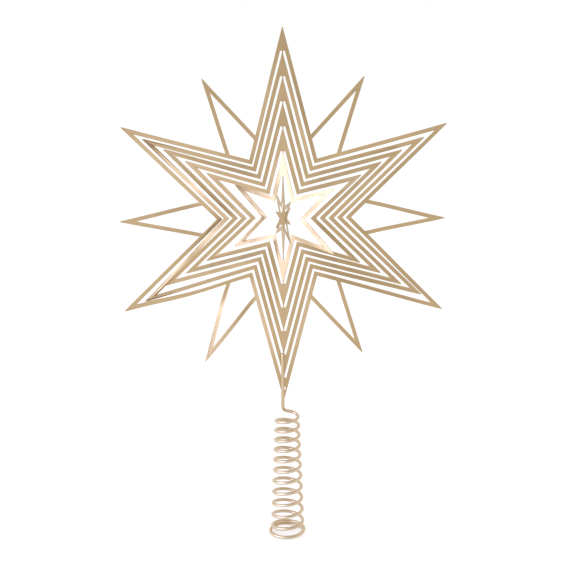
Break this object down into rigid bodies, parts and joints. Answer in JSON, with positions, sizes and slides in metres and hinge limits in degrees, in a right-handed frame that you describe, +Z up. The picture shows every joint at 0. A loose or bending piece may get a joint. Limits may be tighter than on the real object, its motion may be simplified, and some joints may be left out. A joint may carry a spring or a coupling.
{
  "type": "christmas tree topper star",
  "caption": "Sheet-brass tree topper of nested six-pointed stars that twist on short necks, with outlined rays and a sprung wire socket for the tree's top shoot.",
  "frame": {"origin": "centre of the wire coil's mouth, at the lowest point of the wire", "axes": "+Z up along the coil's axis towards the star's top tip, the outer star's front face looks along -Y"},
  "size_m": [0.188, 0.0399, 0.2996],
  "materials": {
    "sheet_brass": "satin, brushed",
    "brass_wire": "satin, drawn wire",
    "solder": "matt, lacquered over"
  },
  "bodies": {
    "wire_socket": {"socket_coil": "brass_wire"},
    "outer_frame": {"outer_star": "sheet_brass", "stem_wire": "brass_wire", "solder_bead": "solder", "second_star_top_neck": "sheet_brass", "second_star_bottom_neck": "sheet_brass"},
    "second_star_ring": {"second_star": "sheet_brass", "third_star_top_neck": "sheet_brass", "third_star_bottom_neck": "sheet_brass"},
    "third_star_ring": {"third_star": "sheet_brass", "fourth_star_top_neck": "sheet_brass", "fourth_star_bottom_neck": "sheet_brass"},
    "fourth_star_ring": {"fourth_star": "sheet_brass", "fifth_star_top_neck": "sheet_brass", "fifth_star_bottom_neck": "sheet_brass"},
    "fifth_star_ring": {"fifth_star": "sheet_brass", "sixth_star_top_neck": "sheet_brass", "sixth_star_bottom_neck": "sheet_brass"},
    "sixth_star_ring": {"sixth_star": "sheet_brass", "seventh_star_top_neck": "sheet_brass", "seventh_star_bottom_neck": "sheet_brass"},
    "seventh_star_ring": {"seventh_star": "sheet_brass", "centre_star_top_neck": "sheet_brass", "centre_star_bottom_neck": "sheet_brass"},
    "centre_piece": {"centre_star": "sheet_brass"}
  },
  "joints": [
    {"name": "socket_press", "type": "slide", "parent": "wire_socket", "child": "outer_frame", "axis": [0, 0, 1], "range_m": [-0.015, 0.01], "stiffness_N_per_m": 1500, "springref_m": 0.00028, "deforming": ["socket_coil"]},
    {"name": "second_star_twist", "type": "hinge", "parent": "outer_frame", "child": "second_star_ring", "pos_m": [-0.0018, 0.00155, 0.19127], "axis": [0, 0, 1], "range_deg": [-59.5, 8.5]},
    {"name": "third_star_twist", "type": "hinge", "parent": "second_star_ring", "child": "third_star_ring", "pos_m": [-0.0018, 0.00155, 0.19127], "axis": [0, 0, 1], "range_deg": [-85.5, 94.5]},
    {"name": "fourth_star_twist", "type": "hinge", "parent": "third_star_ring", "child": "fourth_star_ring", "pos_m": [-0.0018, 0.00155, 0.19127], "axis": [0, 0, 1], "range_deg": [-90, 90]},
    {"name": "fifth_star_twist", "type": "hinge", "parent": "fourth_star_ring", "child": "fifth_star_ring", "pos_m": [-0.0018, 0.00155, 0.19127], "axis": [0, 0, 1], "range_deg": [-87, 93]},
    {"name": "sixth_star_twist", "type": "hinge", "parent": "fifth_star_ring", "child": "sixth_star_ring", "pos_m": [-0.0018, 0.00155, 0.19127], "axis": [0, 0, 1], "range_deg": [-66, 114]},
    {"name": "seventh_star_twist", "type": "hinge", "parent": "sixth_star_ring", "child": "seventh_star_ring", "pos_m": [-0.0018, 0.00155, 0.19127], "axis": [0, 0, 1], "range_deg": [-39.5, 140.5]},
    {"name": "centre_star_twist", "type": "hinge", "parent": "seventh_star_ring", "child": "centre_piece", "pos_m": [-0.0018, 0.00155, 0.19127], "axis": [0, 0, 1], "range_deg": [-48, 132]}
  ]
}
